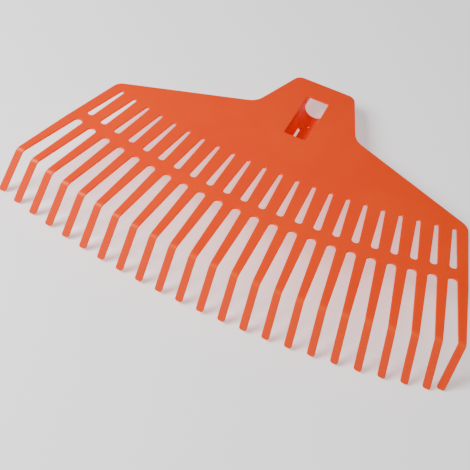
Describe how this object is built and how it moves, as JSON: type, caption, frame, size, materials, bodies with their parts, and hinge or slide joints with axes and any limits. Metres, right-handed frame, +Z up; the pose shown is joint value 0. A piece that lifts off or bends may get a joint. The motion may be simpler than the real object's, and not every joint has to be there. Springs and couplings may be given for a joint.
{
  "type": "leaf rake head",
  "caption": "Flat fan-shaped plastic leaf rake head with a necked handle socket, a slotted panel and a row of long tines bent down at their ends.",
  "frame": {"origin": "middle of the head's plan, on the ground it lies on", "axes": "+X to the right across the tines, +Y towards the neck and the handle, +Z up out of the top face"},
  "size_m": [0.5404, 0.3592, 0.0569],
  "materials": {
    "orange_plastic": "satin injection-moulded polypropylene, one colour all through"
  },
  "bodies": {
    "head": {"fan_plate": "orange_plastic", "socket_trough": "orange_plastic", "socket_cheek_left": "orange_plastic", "socket_cheek_right": "orange_plastic"},
    "tine_01": {"tine_01": "orange_plastic"},
    "tine_02": {"tine_02": "orange_plastic"},
    "tine_03": {"tine_03": "orange_plastic"},
    "tine_04": {"tine_04": "orange_plastic"},
    "tine_05": {"tine_05": "orange_plastic"},
    "tine_06": {"tine_06": "orange_plastic"},
    "tine_07": {"tine_07": "orange_plastic"},
    "tine_08": {"tine_08": "orange_plastic"},
    "tine_09": {"tine_09": "orange_plastic"},
    "tine_10": {"tine_10": "orange_plastic"},
    "tine_11": {"tine_11": "orange_plastic"},
    "tine_12": {"tine_12": "orange_plastic"},
    "tine_13": {"tine_13": "orange_plastic"},
    "tine_14": {"tine_14": "orange_plastic"},
    "tine_15": {"tine_15": "orange_plastic"},
    "tine_16": {"tine_16": "orange_plastic"},
    "tine_17": {"tine_17": "orange_plastic"},
    "tine_18": {"tine_18": "orange_plastic"},
    "tine_19": {"tine_19": "orange_plastic"},
    "tine_20": {"tine_20": "orange_plastic"},
    "tine_21": {"tine_21": "orange_plastic"},
    "tine_22": {"tine_22": "orange_plastic"},
    "tine_23": {"tine_23": "orange_plastic"}
  },
  "joints": [
    {"name": "tine_01_flex", "type": "hinge", "parent": "head", "child": "tine_01", "pos_m": [-0.23335, -0.04315, 0.04663], "axis": [-1, 0, 0], "range_deg": [-5, 12], "stiffness_Nm_per_rad": 0.7},
    {"name": "tine_02_flex", "type": "hinge", "parent": "head", "child": "tine_02", "pos_m": [-0.21204, -0.04887, 0.04712], "axis": [-1, 0, 0], "range_deg": [-5, 12], "stiffness_Nm_per_rad": 0.7},
    {"name": "tine_03_flex", "type": "hinge", "parent": "head", "child": "tine_03", "pos_m": [-0.19059, -0.05406, 0.04757], "axis": [-1, 0, 0], "range_deg": [-5, 12], "stiffness_Nm_per_rad": 0.7},
    {"name": "tine_04_flex", "type": "hinge", "parent": "head", "child": "tine_04", "pos_m": [-0.169, -0.05872, 0.04797], "axis": [-1, 0, 0], "range_deg": [-5, 12], "stiffness_Nm_per_rad": 0.7},
    {"name": "tine_05_flex", "type": "hinge", "parent": "head", "child": "tine_05", "pos_m": [-0.14729, -0.06283, 0.04832], "axis": [-1, 0, 0], "range_deg": [-5, 12], "stiffness_Nm_per_rad": 0.7},
    {"name": "tine_06_flex", "type": "hinge", "parent": "head", "child": "tine_06", "pos_m": [-0.12547, -0.0664, 0.04863], "axis": [-1, 0, 0], "range_deg": [-5, 12], "stiffness_Nm_per_rad": 0.7},
    {"name": "tine_07_flex", "type": "hinge", "parent": "head", "child": "tine_07", "pos_m": [-0.10357, -0.06943, 0.04889], "axis": [-1, 0, 0], "range_deg": [-5, 12], "stiffness_Nm_per_rad": 0.7},
    {"name": "tine_08_flex", "type": "hinge", "parent": "head", "child": "tine_08", "pos_m": [-0.08158, -0.07191, 0.04911], "axis": [-1, 0, 0], "range_deg": [-5, 12], "stiffness_Nm_per_rad": 0.7},
    {"name": "tine_09_flex", "type": "hinge", "parent": "head", "child": "tine_09", "pos_m": [-0.05954, -0.07384, 0.04927], "axis": [-1, 0, 0], "range_deg": [-5, 12], "stiffness_Nm_per_rad": 0.7},
    {"name": "tine_10_flex", "type": "hinge", "parent": "head", "child": "tine_10", "pos_m": [-0.03745, -0.07522, 0.04939], "axis": [-1, 0, 0], "range_deg": [-5, 12], "stiffness_Nm_per_rad": 0.7},
    {"name": "tine_11_flex", "type": "hinge", "parent": "head", "child": "tine_11", "pos_m": [-0.01533, -0.07605, 0.04946], "axis": [-1, 0, 0], "range_deg": [-5, 12], "stiffness_Nm_per_rad": 0.7},
    {"name": "tine_12_flex", "type": "hinge", "parent": "head", "child": "tine_12", "pos_m": [0.0068, -0.07633, 0.04949], "axis": [-1, 0, 0], "range_deg": [-5, 12], "stiffness_Nm_per_rad": 0.7},
    {"name": "tine_13_flex", "type": "hinge", "parent": "head", "child": "tine_13", "pos_m": [0.02893, -0.07605, 0.04946], "axis": [-1, 0, 0], "range_deg": [-5, 12], "stiffness_Nm_per_rad": 0.7},
    {"name": "tine_14_flex", "type": "hinge", "parent": "head", "child": "tine_14", "pos_m": [0.05105, -0.07522, 0.04939], "axis": [-1, 0, 0], "range_deg": [-5, 12], "stiffness_Nm_per_rad": 0.7},
    {"name": "tine_15_flex", "type": "hinge", "parent": "head", "child": "tine_15", "pos_m": [0.07314, -0.07384, 0.04927], "axis": [-1, 0, 0], "range_deg": [-5, 12], "stiffness_Nm_per_rad": 0.7},
    {"name": "tine_16_flex", "type": "hinge", "parent": "head", "child": "tine_16", "pos_m": [0.09518, -0.07191, 0.04911], "axis": [-1, 0, 0], "range_deg": [-5, 12], "stiffness_Nm_per_rad": 0.7},
    {"name": "tine_17_flex", "type": "hinge", "parent": "head", "child": "tine_17", "pos_m": [0.11717, -0.06943, 0.04889], "axis": [-1, 0, 0], "range_deg": [-5, 12], "stiffness_Nm_per_rad": 0.7},
    {"name": "tine_18_flex", "type": "hinge", "parent": "head", "child": "tine_18", "pos_m": [0.13907, -0.0664, 0.04863], "axis": [-1, 0, 0], "range_deg": [-5, 12], "stiffness_Nm_per_rad": 0.7},
    {"name": "tine_19_flex", "type": "hinge", "parent": "head", "child": "tine_19", "pos_m": [0.16089, -0.06283, 0.04832], "axis": [-1, 0, 0], "range_deg": [-5, 12], "stiffness_Nm_per_rad": 0.7},
    {"name": "tine_20_flex", "type": "hinge", "parent": "head", "child": "tine_20", "pos_m": [0.1826, -0.05872, 0.04797], "axis": [-1, 0, 0], "range_deg": [-5, 12], "stiffness_Nm_per_rad": 0.7},
    {"name": "tine_21_flex", "type": "hinge", "parent": "head", "child": "tine_21", "pos_m": [0.20419, -0.05406, 0.04757], "axis": [-1, 0, 0], "range_deg": [-5, 12], "stiffness_Nm_per_rad": 0.7},
    {"name": "tine_22_flex", "type": "hinge", "parent": "head", "child": "tine_22", "pos_m": [0.22564, -0.04887, 0.04712], "axis": [-1, 0, 0], "range_deg": [-5, 12], "stiffness_Nm_per_rad": 0.7},
    {"name": "tine_23_flex", "type": "hinge", "parent": "head", "child": "tine_23", "pos_m": [0.24695, -0.04315, 0.04663], "axis": [-1, 0, 0], "range_deg": [-5, 12], "stiffness_Nm_per_rad": 0.7}
  ]
}
